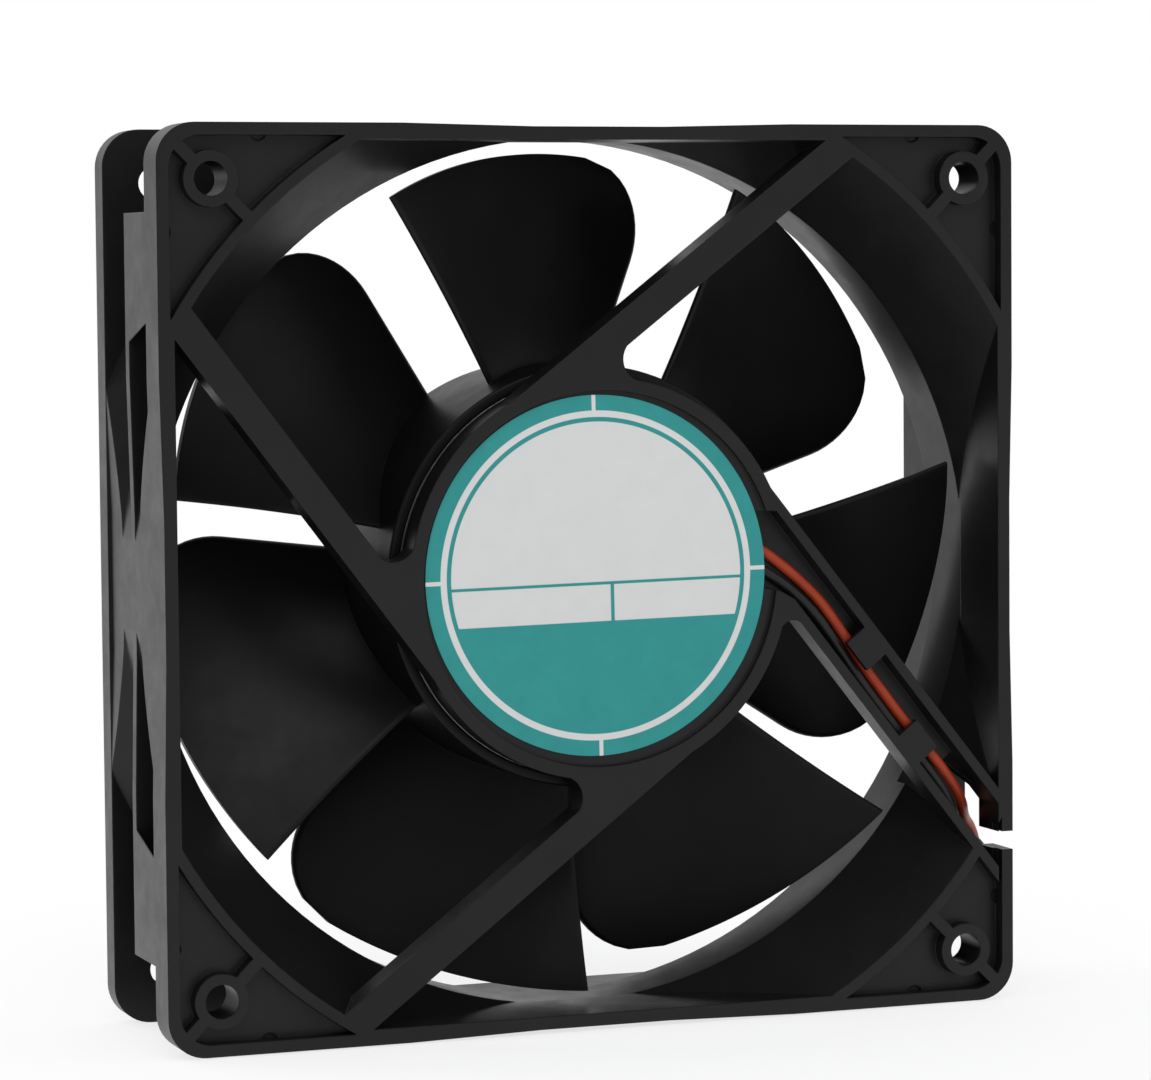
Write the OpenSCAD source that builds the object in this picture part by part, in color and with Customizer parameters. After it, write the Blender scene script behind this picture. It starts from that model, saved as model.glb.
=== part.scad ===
// Case fan, 119 x 119 x 32 mm, two leads, ball bearings.
// It stands upright on its lower edge: +Z up, the air leaves towards -Y through the face with the
// struts and the label, and the fan's axis lies along Y. The origin is at the middle of the footprint.

/* [Frame] */
// Side of the square frame
frame_side = 119; // [117:0.5:123]
// Depth of the frame along the fan's axis
frame_depth = 32; // [31:0.5:38]
// Distance of each screw hole from the two edges of its corner
hole_inset = 7.1; // [6.4:0.1:7.6]
// Screw hole diameter
hole_d = 4.4; // [3.6:0.1:5]
// Rounding of the frame's four corners
corner_r = 5; // [3:0.5:6]
// Thickness of the flange on the strut side
front_flange = 6.2; // [5:0.2:8]
// Thickness of the flange on the intake side
back_flange = 4; // [3:0.5:6]
// Wall left beside the throat of the air duct, at the middle of each side
side_wall = 1.5; // [1.2:0.1:2.5]
// Thickness of the duct's wall
duct_wall = 1.4; // [1:0.1:2]
// Thickness of the lip that the front flare leaves at the middle of each side
front_lip = 2.1; // [1.5:0.1:2.6]
// Thickness of the lip that the back flare leaves there
back_lip = 1.4; // [1:0.1:2]
// How far the flares open beyond the throat, in the corners
flare_rise = 8; // [6:0.5:9]
// Depth of the flare on the strut side
front_flare = 12.4; // [10:0.2:15]
// Depth of the flare on the intake side
back_flare = 10; // [8:0.5:12]
// Width of the raised ridge round the front flare
ridge_w = 1.4; // [1:0.1:2]
// Width of the raised rim along the frame's edges
rim_w = 1.6; // [1.2:0.1:2.5]
// Depth of the pockets in the front corners
pocket_depth = 2; // [1:0.5:3]
// Outer diameter of the raised ring at each screw hole
boss_d = 7.2; // [6.2:0.2:9]
// Width of the ribs in the corner pockets
rib_w = 1.6; // [1:0.1:2.5]
// Diameter of the room round each screw, between the flanges
screw_room_d = 12.4; // [8:0.2:12.6]
// How far the middle of each front edge is set back
edge_relief = 0.4; // [0.2:0.1:0.9]
// Length of that set back stretch, with the slopes at its ends
relief_length = 54; // [40:2:60]
// Distance of the stiffening ring behind the front face
ring_front = 15; // [13:0.5:16]
// Thickness of the stiffening ring
ring_thick = 1.8; // [1.4:0.2:4]
// Side of the square room that the ring leaves in each corner for screws and nuts
corner_room = 11.2; // [10:0.2:12]
// Width of the blocks between ring and front flange
block_w = 8; // [6:0.5:9]
// How far the blocks' inner faces rise above the frame's sides, at the front flange
block_rise = 9.1; // [8.5:0.2:9.9]
// How much further in the blocks reach at the ring than at the front flange
block_slant = 1.2; // [0:0.2:2]

/* [Motor base and struts] */
// Diameter of the motor base
base_d = 53; // [52:0.5:56]
// Thickness of the motor base with its rim
base_thick = 4.4; // [4:0.1:5]
// Thickness of the motor base's plate
plate_thick = 1.9; // [1.5:0.1:2.2]
// Width of a strut
strut_w = 4.1; // [3:0.1:5]
// Depth of a strut
strut_depth = 4.2; // [3.4:0.1:4.4]
// Distance of a strut's middle line from the fan's axis
strut_offset = 24.1; // [23:0.1:25]
// Direction of the first strut, counterclockwise from +X
strut_angle = 37.3; // [35:0.1:40]
// Fillet where a strut leaves the motor base
strut_fillet = 3; // [2:0.5:4]
// Angle that the lead channel is turned by from a fourth strut's direction
channel_turn = 1.3; // [0:0.1:2]
// Width of the lead channel, walls included
channel_w = 8; // [7.5:0.1:9]
// Thickness of the channel's walls
channel_wall = 1.3; // [1:0.1:1.6]
// Inner depth of the lead channel
channel_depth = 2.9; // [2.6:0.1:3.2]
// Length of a retaining tab in the channel
tab_length = 4.8; // [3:0.2:6]
// Thickness of a retaining tab
tab_thick = 1; // [0.8:0.1:1.1]
// Height of the lead notch in the frame's edge
notch_h = 2.5; // [2:0.1:3.5]

/* [Label] */
// Label diameter
label_d = 47.5; // [44:0.5:48]
// Label thickness
label_thick = 0.2; // [0.1:0.05:0.3]
// Room between the label and the rim of its recess
label_room = 1; // [0.4:0.1:1.2]
// Depth of the recess that the label lies in
label_recess = 0.7; // [0.3:0.05:0.8]

/* [Impeller] */
// Gap between the blade tips and the duct's throat
tip_gap = 1.8; // [1.2:0.1:4]
// Hub diameter
hub_d = 56; // [55:0.5:58]
// Hub length
hub_length = 25; // [24:0.5:26]
// Thickness of the hub's wall
hub_wall = 1.5; // [1.2:0.1:1.8]
// Thickness of the hub's end
hub_cap = 1.8; // [1.4:0.1:2.4]
// Number of blades
blade_count = 7; // [5:1:9]
// Angle that a blade covers
blade_sweep = 46.8; // [34:0.2:48]
// Distance of the trailing edges behind the front face
blade_front = 10.4; // [9:0.2:12]
// Depth of a blade along the axis
blade_depth = 17.8; // [12:0.2:18]
// Rounding of the leading tip corner
blade_round = 12; // [6:0.5:16]
// Blade thickness at the hub
blade_root_thick = 2.4; // [1.8:0.1:3]
// Blade thickness at the tip
blade_tip_thick = 1.6; // [1.2:0.1:2]

/* [Motor] */
// Gap between the motor base and the hub's rim
rim_gap = 0.5; // [0.3:0.1:0.8]
// Wall of the steel rotor cup
yoke_wall = 1.2; // [0.8:0.1:1.4]
// Thickness of the ring magnet
magnet_thick = 2.8; // [2:0.1:3.4]
// Length of the ring magnet
magnet_length = 18; // [14:0.5:19]
// Air gap between magnet and stator
air_gap = 0.4; // [0.3:0.05:0.6]
// Height of the stator's lamination stack
core_height = 9; // [6:0.5:10]
// Distance of the stack's middle behind the front face
core_middle = 17; // [16:0.5:17.5]
// Width of a stator tooth
tooth_w = 5; // [4:0.2:6]
// Width of the slot opening between two stator poles
slot_w = 3; // [2:0.2:4]
// Thickness of the stator's insulators
insulator_thick = 1.2; // [0.8:0.1:1.4]
// Thickness of the copper on a tooth
winding_thick = 2.2; // [1.4:0.1:2.4]
// Circuit board diameter
board_d = 47; // [44:0.5:47.5]
// Circuit board thickness
board_thick = 1.2; // [1:0.1:1.4]

/* [Bearings and shaft] */
// Shaft diameter
shaft_d = 3; // [2.8:0.1:3.2]
// Bearing outer diameter
bearing_d = 8; // [7.8:0.1:8.4]
// Bearing width
bearing_w = 4; // [3.6:0.1:4.2]
// Ball diameter
ball_d = 1.588; // [1.4:0.05:1.6]
// Number of balls in a bearing
ball_count = 7; // [5:1:7]
// Wall of the brass bearing tube
tube_wall = 1; // [0.8:0.1:1.2]
// Wall of the moulded boss round the tube
boss_wall = 1.4; // [1:0.1:1.8]
// Distance of the front bearing behind the front face
front_bearing_at = 2.6; // [2.5:0.1:3]
// Distance of the rear bearing behind the front face
rear_bearing_at = 19.5; // [18:0.5:20]
// Wire diameter of the preload spring
spring_wire = 0.35; // [0.25:0.05:0.4]

/* [Leads] */
// Diameter of a lead over its insulation
lead_d = 1.45; // [1.2:0.05:1.5]
// Turns in the wound up stretch
coil_turns = 4; // [2:1:4]
// Diameter of the inner lead's turns, at the middle of the lead
coil_d = 14.5; // [14:0.1:15]
// Length of the connector housing
connector_length = 12.6; // [10:0.2:13]
// Width of the connector housing
connector_w = 5.2; // [5:0.1:5.6]
// Height of the connector housing
connector_h = 3; // [2.6:0.1:4]
// Distance between the connector's two terminals
terminal_pitch = 2.54; // [2.5:0.01:2.7]

/* [Hidden] */
$fn = 96;
eps = 0.01;
axis_z = frame_side / 2;
bore_r = frame_side / 2 - side_wall;
flare_r = bore_r + flare_rise;
block_r = frame_side / 2 + block_rise;
lip_half = frame_side / 2 - front_lip;
hole_at = frame_side / 2 - hole_inset;
base_r = base_d / 2;
hub_r = hub_d / 2;
tip_r = bore_r - tip_gap;
board_seat_r = board_d / 2 + 0.2;
ledge_w = 1.5;
fillet_bite = 0.12;
label_shift = [-0.6, 0.4];

// Distances behind the front face, along the axis
hub_front = base_thick + rim_gap;
hub_back = hub_front + hub_length;
cup_back = hub_back - hub_cap;
bushing_front = cup_back - 2.6;
tube_front = 1.2;
tube_back = rear_bearing_at + bearing_w + 0.7;
board_back = channel_depth + board_thick;
magnet_front = hub_front + 0.6;
core_front = core_middle - core_height / 2;
core_back = core_middle + core_height / 2;

// Radii in the motor
yoke_r = hub_r - hub_wall;
magnet_r = yoke_r - yoke_wall;
core_r = magnet_r - magnet_thick - air_gap;
tube_r = bearing_d / 2 + tube_wall;
boss_r = tube_r + boss_wall;
bushing_r = 4;
pole_depth = 2.6;
insulator_inset = 0.3;

// Lead channel, measured from the fan's axis across the fourth strut's direction
channel_dir = strut_angle - 90 + channel_turn;
channel_outer = strut_offset + 1.7;
channel_inner = channel_outer - channel_w;
channel_floor = 1.3;
mouth_start = 5.5;
first_tab = base_r + 3;
second_tab = bore_r - 13.7;
slot_start = bore_r - 5.8;
slot_length = 16;

// Where the channel's middle line meets the frame's side, and what opens there for the leads
exit_y = (channel_inner + channel_outer) / 2 / cos(channel_dir)
    + frame_side / 2 * tan(channel_dir);
window_depth = 6.5;
window_h = 11;
window_drop = 2.5;
notch_rise = 0.6;

// Routes of the leads from the circuit board to the coil: X, Y and Z in the part's frame
red_route = [
    [19.2, -13.9, 64.2], [21.3, -13.9, 63.4], [23.4, -13.9, 62.4], [27.5, -13.9, 59.4],
    [31.8, -13.9, 55.4], [35.8, -13.9, 50], [38.9, -13.9, 45.5], [45.2, -13.9, 37.4],
    [49.7, -13.9, 32.1], [52.3, -12.9, 29], [54.2, -11, 26.6], [55.6, -8.5, 25],
    [57.2, -5.9, 23.6], [59, -3.8, 22], [60.4, -2, 19.8], [61, 0.4, 16.6],
    [61, 3.4, 13.4], [61, 7.2, 10.8], [61, 11.6, 8.9], [61, 16, 7.7], [61, 21.4, 7]];
black_route = [
    [18.3, -13.9, 62.4], [20.2, -13.9, 61.6], [22.2, -13.9, 60.5], [26.4, -13.9, 57.9],
    [30.6, -13.9, 54.2], [34.5, -13.9, 49.1], [37.6, -13.9, 44.6], [43.9, -13.9, 36.5],
    [48.4, -13.9, 31.1], [51.1, -12.9, 27.8], [53, -11, 25], [54.7, -8.7, 23.2],
    [56.9, -6.6, 21.6], [59.5, -4.8, 19.9], [61.6, -3.4, 17.6], [62.6, -1.2, 14.8],
    [62.6, 1.8, 12.1], [62.6, 6, 9.9], [62.6, 11, 8.3], [62.6, 16, 7.4], [62.6, 22.4, 7]];
// Routes of the leads from the coil to the connector
red_tail = [[61, 31, 0.75], [60.9, 33.5, 0.9], [60.2, 35.8, 1.2], [59.5, 37.4, 1.4],
    [59.13, 38.6, 1.5]];
black_tail = [[62.6, 30.2, 0.75], [62.6, 33, 0.8], [62.4, 35.6, 1.1], [61.9, 37.4, 1.4],
    [61.67, 38.6, 1.5]];
coil_centre = [53.75, 26.2];
coil_gap = 0.1;
coil_pitch = lead_d + 0.05;
coil_in = coil_d / 2 - lead_d / 2;
coil_out = coil_d / 2 + lead_d * 1.5 + coil_gap;
coil_h = coil_pitch * coil_turns + lead_d;

// Local frame of the fan: X right, Y up, Z towards the viewer of the label, 0 at the front face
module in_fan() {
    translate([0, -frame_depth / 2, axis_z]) rotate([90, 0, 0]) children();
}

// A slab of a flat shape from one distance behind the front face to another
module slab(from, to) {
    translate([0, 0, -to]) linear_extrude(to - from) children();
}

// Local frame of the lead channel: X outwards along it, Y away from the fan's axis
module along_channel() {
    rotate(channel_dir) children();
}

module rounded_square(side, r) {
    square([side, side - 2 * r], center = true);
    square([side - 2 * r, side], center = true);
    for (x = [-1, 1], y = [-1, 1]) translate([x, y] * (side / 2 - r)) circle(r);
}

module ring_2d(r_out, r_in) {
    difference() {
        circle(r_out);
        circle(r_in);
    }
}

// --- Frame -----------------------------------------------------------------------------------

// Long shallow dips in the sides, cut in the front flange, the ring and the duct's flush lands
module side_dips() {
    half = frame_side / 2;
    reach = relief_length / 2;
    slab(-1, frame_depth - back_flange) for (a = [0:90:270]) rotate(a)
        polygon([[half - edge_relief, reach / 3], [half + edge_relief, reach * 5 / 3],
            [half + edge_relief, -reach * 5 / 3], [half - edge_relief, -reach / 3]]);
}

// Half section of a flare: a cone that opens from the throat to flare_r, thicker by grow outside
module flare_section(depth, grow) {
    slope = flare_rise / depth;
    outside = grow * sqrt(1 + slope * slope);
    inner_end = -depth - (outside - grow) / slope - 1;
    outer_end = grow > 0 ? 0 : 1;
    polygon([[0, inner_end],
        [flare_r + outside + slope * inner_end, inner_end],
        [flare_r + outside + slope * outer_end, outer_end],
        [0, outer_end]]);
}

// Its hollow stops at a lip on each side, and its wall at the frame's sides
module flare(depth, grow, lip) {
    intersection() {
        rotate_extrude() flare_section(depth, grow);
        translate([0, 0, -depth - 3]) linear_extrude(depth + 5)
            square(frame_side - 2 * lip, center = true);
    }
}

module back_flared() {
    translate([0, 0, -frame_depth]) mirror([0, 0, 1]) children();
}

module duct_hollow() {
    slab(front_flare - 0.5, frame_depth + 1) circle(bore_r);
    flare(front_flare, 0, front_lip);
    back_flared() flare(back_flare, 0, back_lip);
}

module corner_pockets() {
    slab(-1, pocket_depth) difference() {
        rounded_square(frame_side - 2 * rim_w, corner_r - rim_w / 2);
        circle(flare_r + ridge_w);
        for (a = [45:90:315]) rotate(a) translate([hole_at * sqrt(2), 0]) {
            circle(d = boss_d);
            translate([-12, -rib_w / 2]) square([24, rib_w]);
        }
    }
}

// Small round ejector marks on the pockets' floors
module ejector_marks() {
    for (a = [0:90:270], side = [-1, 1]) rotate(a + 45) translate([flare_r + 7.5, side * 9])
        slab(pocket_depth - eps, pocket_depth + 0.3) circle(1.1);
}

module screw_holes() {
    for (x = [-1, 1], y = [-1, 1]) translate([x, y] * hole_at)
        slab(-1, frame_depth + 1) circle(d = hole_d);
}

// Room for screws and nuts between the two flanges, in the waist's corners
module screw_room() {
    for (x = [-1, 1], y = [-1, 1]) translate([x, y] * hole_at)
        slab(front_flange, frame_depth - back_flange) circle(d = screw_room_d);
}

// Blocks between the ring and the front flange, their inner faces slanting in towards the ring
module side_blocks() {
    slope = block_slant / (ring_front - front_flange);
    difference() {
        slab(front_flange, ring_front) for (a = [0:90:270]) rotate(a)
            translate([frame_side / 2 - block_w, corner_room - frame_side / 2])
                square([block_w, frame_side - 2 * corner_room]);
        rotate_extrude() polygon([[0, 1 - front_flange], [block_r + slope, 1 - front_flange],
            [block_r - block_slant - slope, -ring_front - 1], [0, -ring_front - 1]]);
    }
}

module shell() {
    difference() {
        union() {
            slab(0, front_flange) rounded_square(frame_side, corner_r);
            slab(frame_depth - back_flange, frame_depth) rounded_square(frame_side, corner_r);
            slab(ring_front, ring_front + ring_thick) for (a = [0, 90]) rotate(a)
                square([frame_side, frame_side - 2 * corner_room], center = true);
            side_blocks();
            intersection() {
                slab(front_flange, frame_depth - back_flange) square(frame_side, center = true);
                union() {
                    slab(0, frame_depth) circle(bore_r + duct_wall);
                    flare(front_flare, duct_wall, 0);
                    back_flared() flare(back_flare, duct_wall, 0);
                }
            }
        }
        side_dips();
    }
}

// A plain strut, from the motor base to the ridge of the front flare
module strut() {
    slab(0, strut_depth) intersection() {
        translate([0, strut_offset - strut_w / 2]) square([flare_r + ridge_w, strut_w]);
        circle(flare_r + ridge_w / 2);
    }
}

// Fills the corner between the motor base and the inner edge of a strut
module fillet_2d(edge, r) {
    reach = base_r + r - fillet_bite;
    cy = edge - r + fillet_bite;
    cx = sqrt(reach * reach - cy * cy);
    share = (base_r - 1) / reach;
    difference() {
        polygon([[0, cy], [0, edge + 0.5], [cx, edge + 0.5], [cx, cy], [cx * share, cy * share]]);
        translate([cx, cy]) circle(r);
        circle(base_r - 2);
    }
}

module plain_struts() {
    for (a = [0, 90, 180]) rotate(strut_angle + a) {
        strut();
        slab(0, strut_depth) fillet_2d(strut_offset - strut_w / 2, strut_fillet);
    }
}

module channel_body() {
    along_channel() {
        slab(0, channel_depth + channel_floor) intersection() {
            translate([0, channel_inner]) square([frame_side, channel_w]);
            union() {
                circle(flare_r + ridge_w / 2);
                rotate(-channel_dir) square(2 * lip_half + eps, center = true);
            }
            rotate(-channel_dir) square(frame_side, center = true);
        }
        slab(0, channel_depth + channel_floor) fillet_2d(channel_inner, strut_fillet - 1);
    }
}

module channel_hollow() {
    inner = channel_inner + channel_wall;
    outer = channel_outer - channel_wall;
    rim_x = sqrt(base_r * base_r - inner * inner);
    slab(-1, channel_depth) along_channel() polygon([[mouth_start, inner - 5.5],
        [rim_x - 4.5, inner - 4], [rim_x - 0.5, inner - 0.8], [rim_x + 1.5, inner],
        [slot_start + 1, inner], [slot_start + 1, outer], [mouth_start + 3.5, outer],
        [mouth_start, outer - 4]]);
    slab(-1, ring_front) intersection() {
        along_channel() translate([slot_start, inner]) square([slot_length, outer - inner]);
        square(2 * lip_half, center = true);
    }
}

// Opening in the waist where the leads come out, and the notch that they are laid in through
module lead_exit() {
    slab(front_flange, ring_front) translate([frame_side / 2 - window_depth, exit_y - window_drop])
        square([window_depth + 1, window_h]);
    slab(-1, front_flange + 1) translate([lip_half - 1.5, exit_y + notch_rise])
        square([front_lip + 3, notch_h]);
}

module channel_tabs() {
    reach = channel_w - 2 * channel_wall - lead_d;
    along_channel() slab(0, tab_thick) {
        translate([first_tab, channel_outer - channel_wall - reach + 0.6])
            square([tab_length, reach]);
        translate([second_tab, channel_inner + channel_wall - 0.6]) square([tab_length, reach]);
    }
}

module motor_base() {
    slab(0, plate_thick) circle(base_r);
    slab(0, base_thick) ring_2d(base_r, board_seat_r);
    slab(plate_thick, channel_depth) ring_2d(board_seat_r + eps, board_seat_r - ledge_w);
    slab(0, core_back) circle(boss_r);
}

module frame() {
    color("#1b1b1d") in_fan() {
        difference() {
            union() {
                difference() {
                    shell();
                    duct_hollow();
                    corner_pockets();
                    ejector_marks();
                    screw_holes();
                    screw_room();
                }
                difference() {
                    union() {
                        plain_struts();
                        channel_body();
                    }
                    slab(channel_depth, base_thick + 1) circle(board_seat_r);
                }
                motor_base();
            }
            channel_hollow();
            lead_exit();
            slab(-1, label_recess) circle(label_d / 2 + label_room);
            slab(-1, core_back + 1) circle(tube_r);
        }
        channel_tabs();
    }
}

module label() {
    color("#2d918c") in_fan() slab(label_recess - label_thick, label_recess)
        translate(label_shift) circle(d = label_d);
}

// --- Bearings, shaft and what holds them -----------------------------------------------------

module bearing_tube() {
    color("#c9a24a") in_fan() difference() {
        slab(tube_front, tube_back) circle(tube_r);
        slab(tube_front - 1, front_bearing_at + bearing_w) circle(d = bearing_d);
        slab(rear_bearing_at, tube_back + 1) circle(d = bearing_d);
        slab(tube_front - 1, tube_back + 1) circle(d = bearing_d - 1.6);
    }
}

race_wall = 0.6;
ball_orbit_r = (shaft_d + bearing_d) / 4;
ball_play = 0.04;
cage_wall = 0.5;
cage_h = 2.6;

module ball_groove() {
    translate([0, 0, -bearing_w / 2]) rotate_extrude() translate([ball_orbit_r, 0])
        circle(ball_d / 2 + ball_play);
}

module outer_race(at) {
    color("#b9bcc0") in_fan() translate([0, 0, -at]) difference() {
        slab(0, bearing_w) ring_2d(bearing_d / 2, bearing_d / 2 - race_wall);
        ball_groove();
    }
}

module inner_race(at) {
    color("#b9bcc0") in_fan() translate([0, 0, -at]) difference() {
        slab(0, bearing_w) ring_2d(shaft_d / 2 + race_wall, shaft_d / 2);
        ball_groove();
    }
}

module at_balls() {
    for (i = [0:ball_count - 1]) rotate(i * 360 / ball_count)
        translate([ball_orbit_r, 0, -bearing_w / 2]) children();
}

module balls(at) {
    color("#d8dade") in_fan() translate([0, 0, -at]) at_balls() sphere(d = ball_d, $fn = 24);
}

module cage(at) {
    color("#b08d4c") in_fan() translate([0, 0, -at]) difference() {
        slab(bearing_w / 2 - cage_h / 2, bearing_w / 2 + cage_h / 2)
            ring_2d(ball_orbit_r + cage_wall / 2, ball_orbit_r - cage_wall / 2);
        at_balls() rotate([0, 90, 0]) cylinder(h = 2, r = ball_d / 2 + ball_play, center = true);
    }
}

module shields(at) {
    shield_in = shaft_d / 2 + race_wall + 0.15;
    shield_out = bearing_d / 2 - race_wall;
    color("#a9acb0") in_fan() translate([0, 0, -at]) {
        slab(0.1, 0.3) ring_2d(shield_out, shield_in);
        slab(bearing_w - 0.3, bearing_w - 0.1) ring_2d(shield_out, shield_in);
    }
}

module shaft() {
    groove_at = front_bearing_at - 0.4;
    color("#c4c7cb") in_fan() difference() {
        slab(0.9, cup_back) circle(d = shaft_d);
        slab(groove_at, groove_at + 0.4) ring_2d(shaft_d, shaft_d / 2 - 0.3);
    }
}

// Split ring that sits in the shaft's groove, in front of the front bearing
module retaining_clip() {
    groove_at = front_bearing_at - 0.4;
    color("#8d9095") in_fan() slab(groove_at, groove_at + 0.4) difference() {
        ring_2d(shaft_d / 2 + 0.9, shaft_d / 2 - 0.3);
        translate([0, -0.9]) square([shaft_d, 1.8]);
    }
}

module shaft_bushing() {
    color("#c9a24a") in_fan() {
        slab(bushing_front, cup_back - yoke_wall) ring_2d(bushing_r + 1, shaft_d / 2);
        slab(cup_back - yoke_wall, cup_back) ring_2d(bushing_r, shaft_d / 2);
    }
}

// Wire bent to a few open turns between the bushing and the rear bearing's inner race
module preload_spring() {
    start = rear_bearing_at + bearing_w + spring_wire / 2;
    rise = bushing_front - rear_bearing_at - bearing_w - spring_wire;
    turns = 3;
    coil_r = shaft_d / 2 + 0.1 + spring_wire / 2;
    steps = 60;
    line = [for (i = [0:steps]) let (a = 360 * turns * i / steps)
        [coil_r * cos(a), coil_r * sin(a), -start - rise * i / steps]];
    color("#9a9da2") in_fan() tube(line, spring_wire / 2, 8);
}

// --- Rotor -----------------------------------------------------------------------------------

module rotor_yoke() {
    color("#9b9ea3") in_fan() {
        slab(magnet_front - 0.4, cup_back) ring_2d(yoke_r, magnet_r);
        slab(cup_back - yoke_wall, cup_back) ring_2d(magnet_r + eps, bushing_r);
    }
}

module rotor_magnet() {
    color("#2c2c30") in_fan()
        slab(magnet_front, magnet_front + magnet_length) ring_2d(magnet_r, magnet_r - magnet_thick);
}

// Blade surface: r from the hub to the tip, t from the trailing to the leading edge
blade_rows = 9;
blade_columns = 12;
function blade_r(i) = let (q = i / blade_rows)
    hub_r - 0.8 + (tip_r - hub_r + 0.8) * (1 - (1 - q) * (1 - q) * 0.35 - (1 - q) * 0.65);
function corner_inset(r) = let (in = max(0, r - tip_r + blade_round))
    blade_round - sqrt(max(0, blade_round * blade_round - in * in));
function blade_start(r) = 2.5 * (tip_r - r) / (tip_r - hub_r);
function blade_end(r) = blade_sweep - corner_inset(r) / r * 180 / PI;
function blade_angle(r, t) = blade_start(r) + (blade_end(r) - blade_start(r)) * t;
function blade_z(angle) = let (t = angle / blade_sweep)
    -blade_front - blade_depth * (t + 0.12 * sin(180 * t));
function blade_thick(r, t) = let (q = (r - hub_r) / (tip_r - hub_r))
    (blade_root_thick + (blade_tip_thick - blade_root_thick) * q)
        * (0.45 + 0.55 * pow(sin(180 * (0.08 + 0.84 * t)), 0.6));
function blade_point(i, j, side) =
    let (r = blade_r(i), t = j / blade_columns, a = blade_angle(r, t))
    [r * cos(-a), r * sin(-a), blade_z(a) + side * blade_thick(r, t) / 2];

module blade() {
    columns = blade_columns + 1;
    count = (blade_rows + 1) * columns;
    points = [for (side = [1, -1], i = [0:blade_rows], j = [0:blade_columns])
        blade_point(i, j, side)];
    function at(side, i, j) = side * count + i * columns + j;
    faces = concat(
        [for (i = [0:blade_rows - 1], j = [0:blade_columns - 1], k = [0, 1])
            k == 0 ? [at(0, i, j), at(0, i + 1, j), at(0, i + 1, j + 1)]
                : [at(0, i, j), at(0, i + 1, j + 1), at(0, i, j + 1)]],
        [for (i = [0:blade_rows - 1], j = [0:blade_columns - 1], k = [0, 1])
            k == 0 ? [at(1, i, j), at(1, i + 1, j + 1), at(1, i + 1, j)]
                : [at(1, i, j), at(1, i, j + 1), at(1, i + 1, j + 1)]],
        [for (i = [0:blade_rows - 1], k = [0, 1])
            k == 0 ? [at(0, i, 0), at(1, i, 0), at(1, i + 1, 0)]
                : [at(0, i, 0), at(1, i + 1, 0), at(0, i + 1, 0)]],
        [for (i = [0:blade_rows - 1], k = [0, 1])
            k == 0 ? [at(0, i, blade_columns), at(1, i + 1, blade_columns), at(1, i, blade_columns)]
                : [at(0, i, blade_columns), at(0, i + 1, blade_columns),
                    at(1, i + 1, blade_columns)]],
        [for (j = [0:blade_columns - 1], k = [0, 1])
            k == 0 ? [at(0, 0, j), at(1, 0, j + 1), at(1, 0, j)]
                : [at(0, 0, j), at(0, 0, j + 1), at(1, 0, j + 1)]],
        [for (j = [0:blade_columns - 1], k = [0, 1])
            k == 0 ? [at(0, blade_rows, j), at(1, blade_rows, j), at(1, blade_rows, j + 1)]
                : [at(0, blade_rows, j), at(1, blade_rows, j + 1), at(0, blade_rows, j + 1)]]);
    polyhedron(points, faces);
}

first_blade = 117;

module impeller() {
    edge = 1.6;
    color("#161617") in_fan() {
        difference() {
            rotate_extrude() {
                translate([0, -hub_back + edge]) square([hub_r, hub_length - edge]);
                translate([0, -hub_back]) square([hub_r - edge, edge + eps]);
                translate([hub_r - edge, -hub_back + edge]) circle(edge);
            }
            slab(hub_front - 1, cup_back) circle(yoke_r);
        }
        for (i = [0:blade_count - 1]) rotate(first_blade + i * 360 / blade_count) blade();
    }
}

// A dab of balancing putty in the corner of the rotor cup
module balance_putty() {
    color("#5d7f55") in_fan() rotate(200) translate([magnet_r - 2.2, 0, -cup_back + yoke_wall])
        difference() {
            sphere(1.5, $fn = 32);
            translate([0, 0, -2]) cube([4, 4, 4], center = true);
        }
}

// --- Stator ----------------------------------------------------------------------------------

module core_2d(inset) {
    difference() {
        union() {
            circle(boss_r + 2.4);
            for (a = [0, 90]) rotate(a) square([2 * core_r - 2, tooth_w - 2 * inset], center = true);
            ring_2d(core_r - inset, core_r - pole_depth + inset);
        }
        circle(boss_r);
        for (a = [45, 135]) rotate(a) square([3 * core_r, slot_w + 2 * inset], center = true);
    }
    ring_2d(boss_r + 2.4, boss_r);
}

module stator_core() {
    color("#8b8e93") in_fan() slab(core_front, core_back) core_2d(0);
}

module insulator(from, to) {
    color("#e9e6da") in_fan() slab(from, to) core_2d(insulator_inset);
}

// Copper round one tooth, with the tooth and both insulators passing through it
module winding(i) {
    from = boss_r + 3;
    long = core_r - pole_depth - from - 0.6;
    wide = tooth_w + 2 * winding_thick;
    tall = core_height + 2 * insulator_thick + 2 * winding_thick;
    color("#b4622f") in_fan() rotate(90 * i) translate([from, 0, -core_middle]) difference() {
        rotate([90, 0, 90]) linear_extrude(long) intersection() {
            square([wide, tall], center = true);
            rotate(45) square((wide + tall) / sqrt(2) - 1.4, center = true);
        }
        translate([long / 2, 0, 0])
            cube([long + 1, tooth_w, core_height + 2 * insulator_thick], center = true);
    }
}

module winding_pins() {
    color("#c8cace") in_fan() for (a = [45, 135, 225]) rotate(a)
        translate([boss_r + 1.5, 0, 0]) slab(channel_depth - 0.6, core_front - insulator_thick)
            circle(0.4);
}

// Sizes of the parts on the board, and the radii that they stand at
driver_at = 14;
driver_size = [4.9, 3.9, 1.4];
pin_pitch = 1.27;
sensor_at = 18.5;
sensor_size = [4, 1.5, 3];
sensor_pins = 1.3;
capacitor_d = 4;
capacitor_h = 4.2;
diode_size = [4.2, 2.6, 2];
resistor_size = [2, 1.2, 0.6];

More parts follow.
